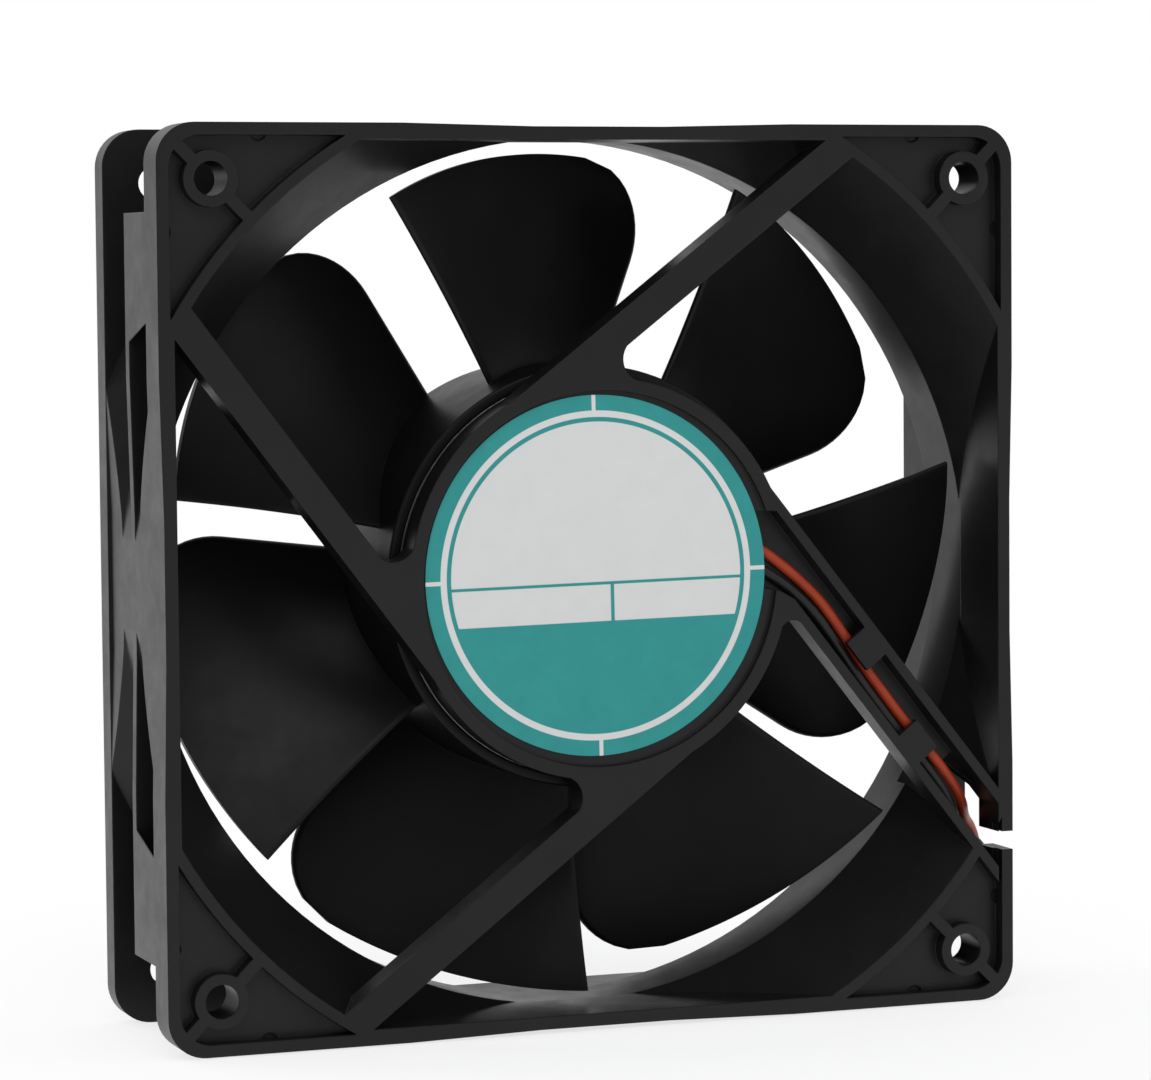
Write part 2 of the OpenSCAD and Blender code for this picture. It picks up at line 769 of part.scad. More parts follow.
module circuit_board() {
    color("#2f6b3c") in_fan() difference() {
        slab(channel_depth, board_back) circle(d = board_d);
        slab(channel_depth - 1, board_back + 1) circle(boss_r);
        for (a = [45, 135, 225]) rotate(a) translate([boss_r + 1.5, 0, 0])
            slab(channel_depth - 1, board_back + 1) circle(0.4);
    }
}

// Places a part on the rear face of the board, its own +Z pointing away from the board
module on_board(angle, radius, turn = 0) {
    in_fan() rotate(angle) translate([radius, 0, -board_back]) rotate([180, 0, turn]) children();
}

module chip(size, lead_count, lead_pitch) {
    translate([0, 0, size.z / 2 + 0.1]) cube(size, center = true);
    for (side = [-1, 1], i = [0:lead_count - 1])
        translate([(i - (lead_count - 1) / 2) * lead_pitch, side * (size.y / 2 + 0.4), 0.2])
            cube([0.4, 1, 0.4], center = true);
}

module driver_ic() {
    color("#26262a") on_board(180, driver_at, 90) chip(driver_size, 4, pin_pitch);
}

// Single row magnetic sensor, standing on the board beside the magnet
module hall_sensor() {
    color("#303036") on_board(45, sensor_at, 90) {
        translate([0, 0, sensor_pins + sensor_size.z / 2]) cube(sensor_size, center = true);
        for (i = [-1:1]) translate([i * pin_pitch, 0, (sensor_pins + 0.3) / 2])
            cube([0.4, 0.4, sensor_pins + 0.3], center = true);
    }
}

module capacitor() {
    color("#3a3f57") on_board(250, driver_at) {
        cylinder(h = capacitor_h, d = capacitor_d);
        translate([0, 0, capacitor_h]) cylinder(h = 0.4, d = capacitor_d - 1);
    }
}

module diode() {
    color("#2b2b2f") on_board(110, driver_at) {
        translate([0, 0, diode_size.z / 2]) cube(diode_size, center = true);
        for (side = [-1, 1]) translate([side * (diode_size.x / 2 + 0.2), 0, 0.15])
            cube([0.8, 1.6, 0.3], center = true);
    }
}

module resistors() {
    color("#1f1f22") for (a = [145, 212, 290, 315]) on_board(a, driver_at + 2)
        translate([0, 0, resistor_size.z / 2]) cube(resistor_size, center = true);
}

// --- Leads -----------------------------------------------------------------------------------

function unit(v) = v / norm(v);
function line_dir(p, i) = unit(p[min(i + 1, len(p) - 1)] - p[max(i - 1, 0)]);

// Round tube along a line of points
module tube(p, r, sides) {
    n = len(p);
    points = [for (i = [0:n - 1])
        let (d = line_dir(p, i), up = abs(d.z) < 0.8 ? [0, 0, 1] : [1, 0, 0],
            a = unit(cross(d, up)), b = cross(d, a))
        for (k = [0:sides - 1]) p[i] + r * (a * cos(360 * k / sides) + b * sin(360 * k / sides))];
    faces = concat(
        [[for (k = [sides - 1:-1:0]) k]],
        [for (i = [0:n - 2], k = [0:sides - 1]) let (m = (k + 1) % sides)
            [i * sides + k, i * sides + m, (i + 1) * sides + m, (i + 1) * sides + k]],
        [[for (k = [0:sides - 1]) (n - 1) * sides + k]]);
    polyhedron(points, faces);
}

module lead(main_route, tail) {
    tube(main_route, lead_d / 2, 8);
    tube(tail, lead_d / 2, 8);
}

module lead_red() {
    color("#c23b1e") lead(red_route, red_tail);
}

module lead_black() {
    color("#18181a") lead(black_route, black_tail);
}

// Outer shape of the wound up stretch of both leads
module lead_coil() {
    color("#6e2a1e") translate([coil_centre.x, coil_centre.y, 0]) linear_extrude(coil_h)
        ring_2d(coil_out, coil_in);
}

// Plastic strap round the turns
module lead_tie() {
    tall = coil_h + 0.5;
    strap = 0.5;
    color("#e8e8e4") translate([coil_centre.x - coil_out - strap, coil_centre.y - 1.2, 0])
        difference() {
            cube([coil_out - coil_in + 2 * strap, 2.4, tall]);
            translate([0, 1.2, 0]) translate([coil_out + strap, 0, -1])
                linear_extrude(coil_h + 1) ring_2d(coil_out, coil_in);
        }
}

connector_at = [(red_tail[4].x + black_tail[4].x) / 2, red_tail[4].y];

module connector_housing() {
    color("#e6e2d6") translate([connector_at.x, connector_at.y, 0]) difference() {
        translate([-connector_w / 2, 0, 0]) cube([connector_w, connector_length, connector_h]);
        for (x = [-1, 1]) translate([x * terminal_pitch / 2 - 0.95, 2, connector_h / 2 - 0.95])
            cube([1.9, connector_length, 1.9]);
        translate([-connector_w / 2 - 1, connector_length - 5, connector_h - 0.5])
            cube([connector_w + 2, 3, 1]);
    }
}

module connector_terminals() {
    color("#cfd1d4") translate([connector_at.x, connector_at.y, connector_h / 2])
        for (x = [-1, 1]) translate([x * terminal_pitch / 2, 2, 0]) difference() {
            translate([-0.95, 0, -0.95]) cube([1.9, connector_length - 3, 1.9]);
            translate([-0.5, 1, -0.5]) cube([1, connector_length, 1]);
        }
}

// Solder that joins the leads' ends to the front of the board
solder_h = 1.2;
solder_w = 1.6;
red_pad = [19.2, 4.7];
black_pad = [18.3, 2.9];

module lead_solder() {
    color("#c9ccd0") in_fan() slab(channel_depth - solder_h, channel_depth) {
        translate(red_pad) rotate(-20.9) translate([-solder_w, -solder_w / 2]) square(solder_w);
        translate(black_pad) rotate(-22.8) translate([-solder_w, -solder_w / 2]) square(solder_w);
    }
}

frame();
label();
bearing_tube();
circuit_board();
driver_ic();
hall_sensor();
capacitor();
diode();
resistors();
stator_core();
insulator(core_front - insulator_thick, core_front);  // front_insulator
insulator(core_back, core_back + insulator_thick);  // rear_insulator
winding(0);  // winding_1
winding(1);  // winding_2
winding(2);  // winding_3
winding(3);  // winding_4
winding_pins();
outer_race(front_bearing_at);  // front_bearing_outer_race
inner_race(front_bearing_at);  // front_bearing_inner_race
balls(front_bearing_at);  // front_bearing_balls
cage(front_bearing_at);  // front_bearing_cage
shields(front_bearing_at);  // front_bearing_shields
outer_race(rear_bearing_at);  // rear_bearing_outer_race
inner_race(rear_bearing_at);  // rear_bearing_inner_race
balls(rear_bearing_at);  // rear_bearing_balls
cage(rear_bearing_at);  // rear_bearing_cage
shields(rear_bearing_at);  // rear_bearing_shields
shaft();
shaft_bushing();
rotor_yoke();
rotor_magnet();
impeller();
preload_spring();
retaining_clip();
balance_putty();
lead_solder();
lead_red();
lead_black();
lead_coil();
lead_tie();
connector_housing();
connector_terminals();
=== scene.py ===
from math import cos, pi, radians, sin, sqrt

import bmesh
import bpy
from mathutils import Matrix, Vector


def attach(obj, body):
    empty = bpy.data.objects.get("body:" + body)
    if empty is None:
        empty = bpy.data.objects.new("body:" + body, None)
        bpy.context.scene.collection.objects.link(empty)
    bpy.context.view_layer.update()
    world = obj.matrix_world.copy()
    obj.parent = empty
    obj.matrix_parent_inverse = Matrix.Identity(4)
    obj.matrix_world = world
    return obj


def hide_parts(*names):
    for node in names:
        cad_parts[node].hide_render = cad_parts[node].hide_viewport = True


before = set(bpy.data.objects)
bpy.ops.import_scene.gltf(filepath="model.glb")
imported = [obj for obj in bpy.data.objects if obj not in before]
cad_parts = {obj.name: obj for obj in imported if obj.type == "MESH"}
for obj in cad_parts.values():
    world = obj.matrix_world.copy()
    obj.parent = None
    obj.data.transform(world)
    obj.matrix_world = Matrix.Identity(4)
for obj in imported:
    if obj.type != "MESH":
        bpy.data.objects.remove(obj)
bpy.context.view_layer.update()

scene = bpy.context.scene
MM = 0.001
AXIS_Z = 59.5      # height of the fan's axis, mm
HALF_DEPTH = 16    # from the front face to the middle of the frame, mm


# --- Camera: the photograph's viewing angle -----------------------------------------------------

AZIMUTH, ELEVATION, ROLL = -20.27, 3.65, -0.5   # degrees
CAMERA_PLACE = (-193.2, -528.8, 40.1 + AXIS_Z)  # mm
SENSOR, LENS = 36, 131.0                        # mm


def place_camera():
    az, el, roll = radians(AZIMUTH), radians(ELEVATION), radians(ROLL)
    back = Vector((sin(az) * cos(el), -cos(az) * cos(el), sin(el)))
    level = (-back).cross(Vector((0, 0, 1))).normalized()
    upright = level.cross(-back)
    right = cos(roll) * level + sin(roll) * upright
    up = -sin(roll) * level + cos(roll) * upright
    data = bpy.data.cameras.new("camera")
    data.sensor_fit = "HORIZONTAL"
    data.sensor_width = SENSOR
    data.lens = LENS
    data.clip_start = 0.05
    data.clip_end = 20
    cam = bpy.data.objects.new("camera", data)
    scene.collection.objects.link(cam)
    m = Matrix((right, up, back)).transposed().to_4x4()
    m.translation = Vector(CAMERA_PLACE) * MM
    cam.matrix_world = m
    scene.camera = cam


place_camera()


# --- Shading helpers ----------------------------------------------------------------------------

class Tree:
    """A node tree, with short calls for what materials and the world have in common."""

    def __init__(self, owner):
        owner.use_nodes = True
        self.tree = owner.node_tree

    def add(self, kind, **props):
        n = self.tree.nodes.new(kind)
        for k, v in props.items():
            setattr(n, k, v)
        return n

    def link(self, a, b):
        self.tree.links.new(a, b)

    def put(self, socket, value):
        if hasattr(value, "is_linked"):
            self.link(value, socket)
        else:
            socket.default_value = value

    def math(self, op, a, b=None, clamp=False):
        n = self.add("ShaderNodeMath", operation=op, use_clamp=clamp)
        for i, v in enumerate((a, b)):
            if v is not None:
                self.put(n.inputs[i], v)
        return n.outputs[0]

    def camera_sees(self):
        """1 for camera, glossy and transmission rays, else 0."""
        path = self.add("ShaderNodeLightPath").outputs
        seen = path["Is Camera Ray"]
        for other in ("Is Glossy Ray", "Is Transmission Ray"):
            seen = self.math("MAXIMUM", seen, path[other])
        return seen

    def blend(self, fac, a, b, out):
        """Gives the output a mix of two shaders."""
        n = self.add("ShaderNodeMixShader")
        for socket, source in zip(n.inputs, (fac, a, b), strict=True):
            self.link(source, socket)
        self.link(n.outputs[0], out.inputs[0])


class Nodes(Tree):
    """A material's node tree, with short calls for the nodes used here."""

    def __init__(self, name):
        self.mat = bpy.data.materials.new(name)
        super().__init__(self.mat)
        self.bsdf = self.tree.nodes["Principled BSDF"]
        self.coord = self.add("ShaderNodeTexCoord").outputs["Object"]

    def noise(self, scale, detail=4, rough=0.55, distort=0.0, vector=None):
        n = self.add("ShaderNodeTexNoise")
        self.link(vector or self.coord, n.inputs["Vector"])
        n.inputs["Scale"].default_value = scale
        n.inputs["Detail"].default_value = detail
        n.inputs["Roughness"].default_value = rough
        n.inputs["Distortion"].default_value = distort
        return n.outputs["Fac"]

    def ramp(self, fac, start, end, at=(0.3, 0.7)):
        """A colour from start to end, as fac goes through the range."""
        n = self.add("ShaderNodeValToRGB")
        self.link(fac, n.inputs["Fac"])
        for stop, place, colour in zip(n.color_ramp.elements, at, (start, end), strict=True):
            stop.position = place
            stop.color = (*colour, 1)
        return n.outputs["Color"]

    def spread(self, fac, low, high, at=(0.3, 0.7)):
        """A value from low to high, as fac goes through the range."""
        n = self.add("ShaderNodeMapRange")
        self.link(fac, n.inputs["Value"])
        n.inputs["From Min"].default_value = at[0]
        n.inputs["From Max"].default_value = at[1]
        n.inputs["To Min"].default_value = low
        n.inputs["To Max"].default_value = high
        return n.outputs["Result"]

    def mix(self, fac, a, b):
        """A mix of two colours. The sockets go by number, since each name stands three times."""
        n = self.add("ShaderNodeMix", data_type="RGBA")
        self.link(fac, n.inputs[0])
        self.link(a, n.inputs[6])
        self.link(b, n.inputs[7])
        return n.outputs[2]

    def bump(self, height, strength, distance, normal=None):
        n = self.add("ShaderNodeBump")
        self.link(height, n.inputs["Height"])
        n.inputs["Strength"].default_value = strength
        n.inputs["Distance"].default_value = distance
        if normal is not None:
            self.link(normal, n.inputs["Normal"])
        return n.outputs["Normal"]

    def bevel(self, radius):
        n = self.add("ShaderNodeBevel", samples=4)
        n.inputs["Radius"].default_value = radius
        return n.outputs["Normal"]

    def scaled(self, x, y, z):
        n = self.add("ShaderNodeMapping")
        self.link(self.coord, n.inputs["Vector"])
        n.inputs["Scale"].default_value = (x, y, z)
        return n.outputs["Vector"]

    def drive(self, **sources):
        """Links or sets the main shader's sockets: Base_Color stands for Base Color."""
        for k, v in sources.items():
            self.put(self.bsdf.inputs[k.replace("_", " ")], v)


def plastic(name, dark, light, rough, grain, grain_bump, edge, specular=0.5):
    """Moulded plastic: fine grain, faint flow marks, handling wear in the gloss, soft edges."""
    n = Nodes(name)
    flow = n.noise(45, 5, 0.6, 0.6)
    fine = n.noise(grain, 3, 0.6)
    scuff = n.noise(160, 6, 0.7, 0.3)
    soft = n.bevel(edge) if edge else None
    n.drive(Base_Color=n.ramp(flow, dark, light), Roughness=n.spread(scuff, *rough),
            Normal=n.bump(fine, grain_bump, 0.00004, soft), Specular_IOR_Level=specular)
    return n.mat


def metal(name, dark, light, rough, stretch=(1, 1, 1), scale=400, bump=0.05):
    """Turned, drawn or ground metal: streaks along the tool's path and a slight tarnish."""
    n = Nodes(name)
    streak = n.noise(scale, 4, 0.6, 0.0, n.scaled(*stretch))
    stain = n.noise(120, 5, 0.6, 0.4)
    n.drive(Base_Color=n.ramp(stain, dark, light), Roughness=n.spread(streak, *rough),
            Normal=n.bump(streak, bump, 0.00002, n.bevel(0.0001)), Metallic=1.0)
    return n.mat


def dress(node, mat):
    """Gives a carried-over CAD node a material."""
    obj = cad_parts[node]
    if not obj.data.materials:
        obj.data.materials.append(mat)
    for material_slot in obj.material_slots:
        material_slot.link = "OBJECT"
        material_slot.material = mat


def new_object(name, mesh_or_curve, mat):
    obj = bpy.data.objects.new(name, mesh_or_curve)
    scene.collection.objects.link(obj)
    obj.data.materials.append(mat)
    return obj


def smooth(mesh, angle):
    """Smooth shading, with sharp edges where faces meet at more than the angle."""
    mesh.polygons.foreach_set("use_smooth", [True] * len(mesh.polygons))
    mesh.set_sharp_from_angle(angle=radians(angle))


# --- Leads: the routes are those of the part's source --------------------------------------------

LEAD_D = 1.45
COIL_CENTRE = (53.75, 26.2)
COIL_R = 7.25       # the red lead's turns
OUTER_STEP = 1.6    # the black lead's turns lie this far outside them
COIL_LOW = 0.75     # height of the lowest turn's end
COIL_TURNS = 4
COIL_PITCH = 1.5
COIL_HIGH = COIL_LOW + COIL_PITCH * COIL_TURNS

RED_ROUTE = [
    (19.2, -13.9, 64.2), (21.3, -13.9, 63.4), (23.4, -13.9, 62.4), (27.5, -13.9, 59.4),
    (31.8, -13.9, 55.4), (35.8, -13.9, 50), (38.9, -13.9, 45.5), (45.2, -13.9, 37.4),
    (49.7, -13.9, 32.1), (52.3, -12.9, 29), (54.2, -11, 26.6), (55.6, -8.5, 25),
    (57.2, -5.9, 23.6), (59, -3.8, 22), (60.4, -2, 19.8), (61, 0.4, 16.6),
    (61, 3.4, 13.4), (61, 7.2, 10.8), (61, 11.6, 8.9), (61, 16, 7.7), (61, 21.4, 7)]
BLACK_ROUTE = [
    (18.3, -13.9, 62.4), (20.2, -13.9, 61.6), (22.2, -13.9, 60.5), (26.4, -13.9, 57.9),
    (30.6, -13.9, 54.2), (34.5, -13.9, 49.1), (37.6, -13.9, 44.6), (43.9, -13.9, 36.5),
    (48.4, -13.9, 31.1), (51.1, -12.9, 27.8), (53, -11, 25), (54.7, -8.7, 23.2),
    (56.9, -6.6, 21.6), (59.5, -4.8, 19.9), (61.6, -3.4, 17.6), (62.6, -1.2, 14.8),
    (62.6, 1.8, 12.1), (62.6, 6, 9.9), (62.6, 11, 8.3), (62.6, 16, 7.4), (62.6, 22.4, 7)]
RED_TAIL = [(61, 31, 0.75), (60.9, 33.5, 0.9), (60.2, 35.8, 1.2), (59.5, 37.4, 1.4),
            (59.13, 38.6, 1.5)]
BLACK_TAIL = [(62.6, 30.2, 0.75), (62.6, 33, 0.8), (62.4, 35.6, 1.1), (61.9, 37.4, 1.4),
              (61.67, 38.6, 1.5)]


def coil_points(radius):
    """Turns wound from the top downwards, starting and ending where the lead runs along +Y."""
    per_turn = 20
    n = COIL_TURNS * per_turn
    out = []
    for i in range(n + 1):
        a = 2 * pi * i / per_turn
        z = COIL_LOW + COIL_PITCH * COIL_TURNS * (1 - i / n)
        out.append((COIL_CENTRE[0] + radius * cos(a), COIL_CENTRE[1] + radius * sin(a), z))
    return out


def catmull(points, steps):
    """A smooth line through the points."""
    p = [Vector(q) for q in points]
    p = [2 * p[0] - p[1]] + p + [2 * p[-1] - p[-2]]
    out = []
    for i in range(1, len(p) - 2):
        # Centripetal spacing keeps uneven points from looping
        t0 = 0.0
        t1 = t0 + sqrt((p[i] - p[i - 1]).length)
        t2 = t1 + sqrt((p[i + 1] - p[i]).length)
        t3 = t2 + sqrt((p[i + 2] - p[i + 1]).length)
        for k in range(steps):
            t = t1 + (t2 - t1) * k / steps
            a1 = (t1 - t) / (t1 - t0) * p[i - 1] + (t - t0) / (t1 - t0) * p[i]
            a2 = (t2 - t) / (t2 - t1) * p[i] + (t - t1) / (t2 - t1) * p[i + 1]
            a3 = (t3 - t) / (t3 - t2) * p[i + 1] + (t - t2) / (t3 - t2) * p[i + 2]
            b1 = (t2 - t) / (t2 - t0) * a1 + (t - t0) / (t2 - t0) * a2
            b2 = (t3 - t) / (t3 - t1) * a2 + (t - t1) / (t3 - t1) * a3
            out.append((t2 - t) / (t2 - t1) * b1 + (t - t1) / (t2 - t1) * b2)
    out.append(p[-2])
    return out


def lead_material(name, dark, light):
    """Extruded vinyl: a little cloudy, with fine grain."""
    n = Nodes(name)
    cloud = n.noise(220, 4, 0.6, 0.4)
    fine = n.noise(1400, 3, 0.6)
    n.drive(Base_Color=n.ramp(cloud, dark, light), Roughness=n.spread(cloud, 0.34, 0.46),
            Normal=n.bump(fine, 0.12, 0.00003), Specular_IOR_Level=0.3)
    return n.mat


def make_lead(name, route, radius, tail, mat):
    pts = catmull(route + coil_points(radius) + tail, 5)
    data = bpy.data.curves.new(name, "CURVE")
    data.dimensions = "3D"
    data.bevel_depth = LEAD_D / 2 * MM
    data.bevel_resolution = 5
    data.use_fill_caps = True
    line = data.splines.new("POLY")
    line.points.add(len(pts) - 1)
    for q, v in zip(line.points, pts, strict=True):
        q.co = (*(v * MM), 1)
    line.use_smooth = True
    return new_object(name, data, mat)


red_vinyl = lead_material("red_vinyl", (0.235, 0.022, 0.005), (0.33, 0.035, 0.008))
black_vinyl = lead_material("black_vinyl", (0.006, 0.006, 0.0065), (0.011, 0.011, 0.012))
red_lead = make_lead("red_lead", RED_ROUTE, COIL_R, RED_TAIL, red_vinyl)
black_lead = make_lead("black_lead", BLACK_ROUTE, COIL_R + OUTER_STEP, BLACK_TAIL,
                       black_vinyl)
for lead, node, slot_name in ((red_lead, "lead_red", "red_insulation"),
                              (black_lead, "lead_black", "black_insulation")):
    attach(lead, "stator_side")
    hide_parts(node)
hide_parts("lead_coil")


# --- Tie round the wound up stretch --------------------------------------------------------------

def make_tie(mat):
    """A strap round the turns' section, on the side away from the leads, with its head on top."""
    cx, cy = COIL_CENTRE
    inner, outer = COIL_R - LEAD_D / 2 - 0.15, COIL_R + OUTER_STEP + LEAD_D / 2 + 0.12
    low, high = 0.02, COIL_HIGH + LEAD_D / 2 + 0.1
    thick, width, corner = 0.4, 2.2, 1.0
    floor_gap = 0.01
    bm = bmesh.new()

    def ring(grow):
        out = []
        x0, x1, z0, z1 = inner - grow, outer + grow, max(low - grow, floor_gap), high + grow
        r = corner + grow
        for ax, az, start in ((x1 - r, z1 - r, 0), (x0 + r, z1 - r, 90),
                              (x0 + r, z0 + r, 180), (x1 - r, z0 + r, 270)):
            for k in range(7):
                a = radians(start + 15 * k)
                out.append((ax + r * cos(a), az + r * sin(a)))
        return out

    inside, outside = ring(0), ring(thick)
    loops = []
    for line, w in ((inside, width), (outside, width - 0.3)):
        for side in (-1, 1):
            loops.append([bm.verts.new(Vector((cx - x, cy + side * w / 2, z)) * MM)
                          for x, z in line])
    order = (0, 1, 3, 2)
    n = len(inside)
    for a, b in zip(order, order[1:] + order[:1], strict=True):
        for k in range(n):
            m = (k + 1) % n
            bm.faces.new((loops[a][k], loops[a][m], loops[b][m], loops[b][k]))
    bmesh.ops.recalc_face_normals(bm, faces=bm.faces)
    # Head and the cut off tail
    x_mid = cx - (inner + outer) / 2
    for x, y, z, sx, sy, sz in ((x_mid, cy, high + 0.75, 2.4, 3.0, 1.5),
                                (x_mid + 1.9, cy, high + 0.75, 1.6, 1.8, 0.5)):
        out = bmesh.ops.create_cube(bm, size=1, matrix=Matrix.Translation(
            Vector((x, y, z)) * MM) @ Matrix.Diagonal((sx * MM, sy * MM, sz * MM, 1)))
        edges = {e for v in out["verts"] for e in v.link_edges}
        bmesh.ops.bevel(bm, geom=list(edges), offset=0.18 * MM, segments=3, profile=0.5,
                        affect="EDGES")
    me = bpy.data.meshes.new("coil_tie")
    bm.to_mesh(me)
    bm.free()
    smooth(me, 40)
    return new_object("coil_tie", me, mat)


tie_nylon = plastic("tie_nylon", (0.62, 0.62, 0.59), (0.72, 0.72, 0.69), (0.32, 0.5), 900, 0.1,
                    0.0001)
tie = make_tie(tie_nylon)
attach(tie, "stator_side")
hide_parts("lead_tie")


# --- Impeller: the same surfaces as the part's source, finer, with rounded edges -----------------

HUB_R, TIP_R = 28.0, 56.2
HUB_FRONT, HUB_BACK, CUP_BACK = 4.9, 29.9, 28.1
YOKE_R = 26.5
BLADES = 7
FIRST_BLADE = 117    # degrees
SWEEP = 46.8         # degrees that a blade spans at its tip, before the corner is rounded
ROOT_LEAN = 2.5      # degrees less that it spans at its root
ROOT_SINK = 0.8      # how far it reaches into the hub
BLADE_FRONT, BLADE_DEPTH = 10.4, 17.8
ROOT_THICK, TIP_THICK = 2.4, 1.6
CAMBER = 0.12
CORNER = 12          # radius of the rounded corner at a blade's tip


def at_fan(x, y, depth):
    """From the fan's own axes (X right, Y up, depth behind the front face) to the part's, mm."""
    return (x, depth - HALF_DEPTH, y + AXIS_Z)


def lathe(profile, segments):
    """Vertices and faces of a closed profile of (radius, depth) pairs turned about the axis."""
    verts, faces = [], []
    for k in range(segments):
        a = 2 * pi * k / segments
        verts += [at_fan(r * cos(a), r * sin(a), d) for r, d in profile]
    n = len(profile)
    for k in range(segments):
        m = (k + 1) % segments
        for i in range(n):
            j = (i + 1) % n
            faces.append((k * n + i, k * n + j, m * n + j, m * n + i))
    return verts, faces


def arc(cx, cy, r, start, end, steps):
    return [(cx + r * cos(radians(start + (end - start) * i / steps)),
             cy + r * sin(radians(start + (end - start) * i / steps))) for i in range(steps + 1)]


def blade_mesh(turn):
    """One blade: its edge nearest the label stands at this angle, and it sweeps clockwise."""
    rows, columns = 22, 40
    verts, faces = [], []

    def inset(r):
        """How far the tip's rounded corner cuts back the edge nearest the intake."""
        q = max(0.0, r - TIP_R + CORNER)
        return CORNER - sqrt(max(0.0, CORNER * CORNER - q * q))

    def point(i, j, side):
        q = i / rows
        w = 1 - q
        r = HUB_R - ROOT_SINK + (TIP_R - HUB_R + ROOT_SINK) * (1 - w * w * 0.35 - w * 0.65)
        # Closer rows of points near both edges, so that they come out round
        t = 0.5 - 0.5 * cos(pi * j / columns)
        start = ROOT_LEAN * (TIP_R - r) / (TIP_R - HUB_R)
        end = SWEEP - inset(r) / r * 180 / pi
        a = start + (end - start) * t
        s = a / SWEEP
        depth = BLADE_FRONT + BLADE_DEPTH * (s + CAMBER * sin(pi * s))
        span = (r - HUB_R) / (TIP_R - HUB_R)
        thick = ROOT_THICK + (TIP_THICK - ROOT_THICK) * span
        thick *= 0.45 + 0.55 * sin(pi * (0.08 + 0.84 * t)) ** 0.6
        chord = max(radians(end - start) * r * 1.15, 1.0)
        # Round edges: the last half thickness before each edge is a quarter circle
        for e in (t, 1 - t):
            edge = min(1.0, e * chord / (thick * 0.5))
            if edge < 1:
                thick *= sqrt(max(0.0, 1 - (1 - edge) ** 2)) * 0.93 + 0.07
        angle = radians(turn - a)
        return at_fan(r * cos(angle), r * sin(angle), depth + side * thick / 2)

    cols = columns + 1
    count = (rows + 1) * cols
    for side in (-1, 1):
        for i in range(rows + 1):
            verts += [point(i, j, side) for j in range(cols)]
    for i in range(rows):
        for j in range(columns):
            a, b = i * cols + j, (i + 1) * cols + j
            faces.append((a, a + 1, b + 1, b))
            faces.append((count + a, count + b, count + b + 1, count + a + 1))
    for i in range(rows):
        for j in (0, columns):
            a, b = i * cols + j, (i + 1) * cols + j
            faces.append((a, b, count + b, count + a) if j == 0
                         else (b, a, count + a, count + b))
    for j in range(columns):
        for i in (0, rows):
            a = i * cols + j
            faces.append((a + 1, a, count + a, count + a + 1) if i == 0
                         else (a, a + 1, count + a + 1, count + a))
    return verts, faces


def make_impeller(mat):
    verts, faces = [], []

    def add(part):
        v, f = part
        base = len(verts)
        verts.extend(v)
        faces.extend(tuple(base + k for k in one) for one in f)

    lip, shoulder, ring_depth, gate_depth = 0.35, 1.6, 0.35, 0.25
    hub = [(YOKE_R, HUB_FRONT + lip)]
    hub += arc(YOKE_R + lip, HUB_FRONT + lip, lip, 180, 270, 4)
    hub += arc(HUB_R - lip, HUB_FRONT + lip, lip, 270, 360, 4)
    hub += arc(HUB_R - shoulder, HUB_BACK - shoulder, shoulder, 0, 90, 8)
    # A shallow dished ring and a gate mark in the middle of the closed end
    hub += [(21.0, HUB_BACK), (20.6, HUB_BACK - ring_depth), (8.4, HUB_BACK - ring_depth),
            (8.0, HUB_BACK), (1.6, HUB_BACK), (1.4, HUB_BACK - gate_depth),
            (0.02, HUB_BACK - gate_depth), (0.02, CUP_BACK), (YOKE_R, CUP_BACK)]
    add(lathe(hub, 144))
    for i in range(BLADES):
        add(blade_mesh(FIRST_BLADE + i * 360 / BLADES))
    me = bpy.data.meshes.new("impeller_moulding")
    me.from_pydata([Vector(v) * MM for v in verts], [], faces)
    me.validate()
    me.update()
    bm = bmesh.new()
    bm.from_mesh(me)
    bmesh.ops.recalc_face_normals(bm, faces=bm.faces)
    bm.to_mesh(me)
    bm.free()
    smooth(me, 38)
    return new_object("impeller_moulding", me, mat)


# --- Materials -----------------------------------------------------------------------------------

frame_black = plastic("frame_black", (0.0062, 0.0062, 0.0065), (0.0088, 0.0088, 0.0092),
                      (0.30, 0.42), 1100, 0.16, 0.0003, specular=0.25)
# The impeller's black is a darker copy of the frame's black, as painted shade on the blades and
# hub.
impeller_shaded_black = plastic("impeller_shaded_black", (0.0046, 0.0046, 0.0048), (0.0068, 0.0068, 0.0071),
                         (0.32, 0.42), 1100, 0.12, 0.0002, specular=0.14)
impeller = make_impeller(impeller_shaded_black)
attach(impeller, "rotor")
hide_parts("impeller")

# The print, in mm from its own middle
LABEL_SHIFT = (-0.6, 0.4)
LABEL_TILT = 0.9               # degrees
FIELD_R = 20.25
WHITE_LINE = (20.85, 21.7)
TICK_START, TICK_HALF = 21.65, 0.27
BAND_LOW, BAND_TOP = -6.0, -0.8
BAND_LINE = 0.4
DIVIDER = (1.8, 2.3)
PRINT_BORDER = 0.03


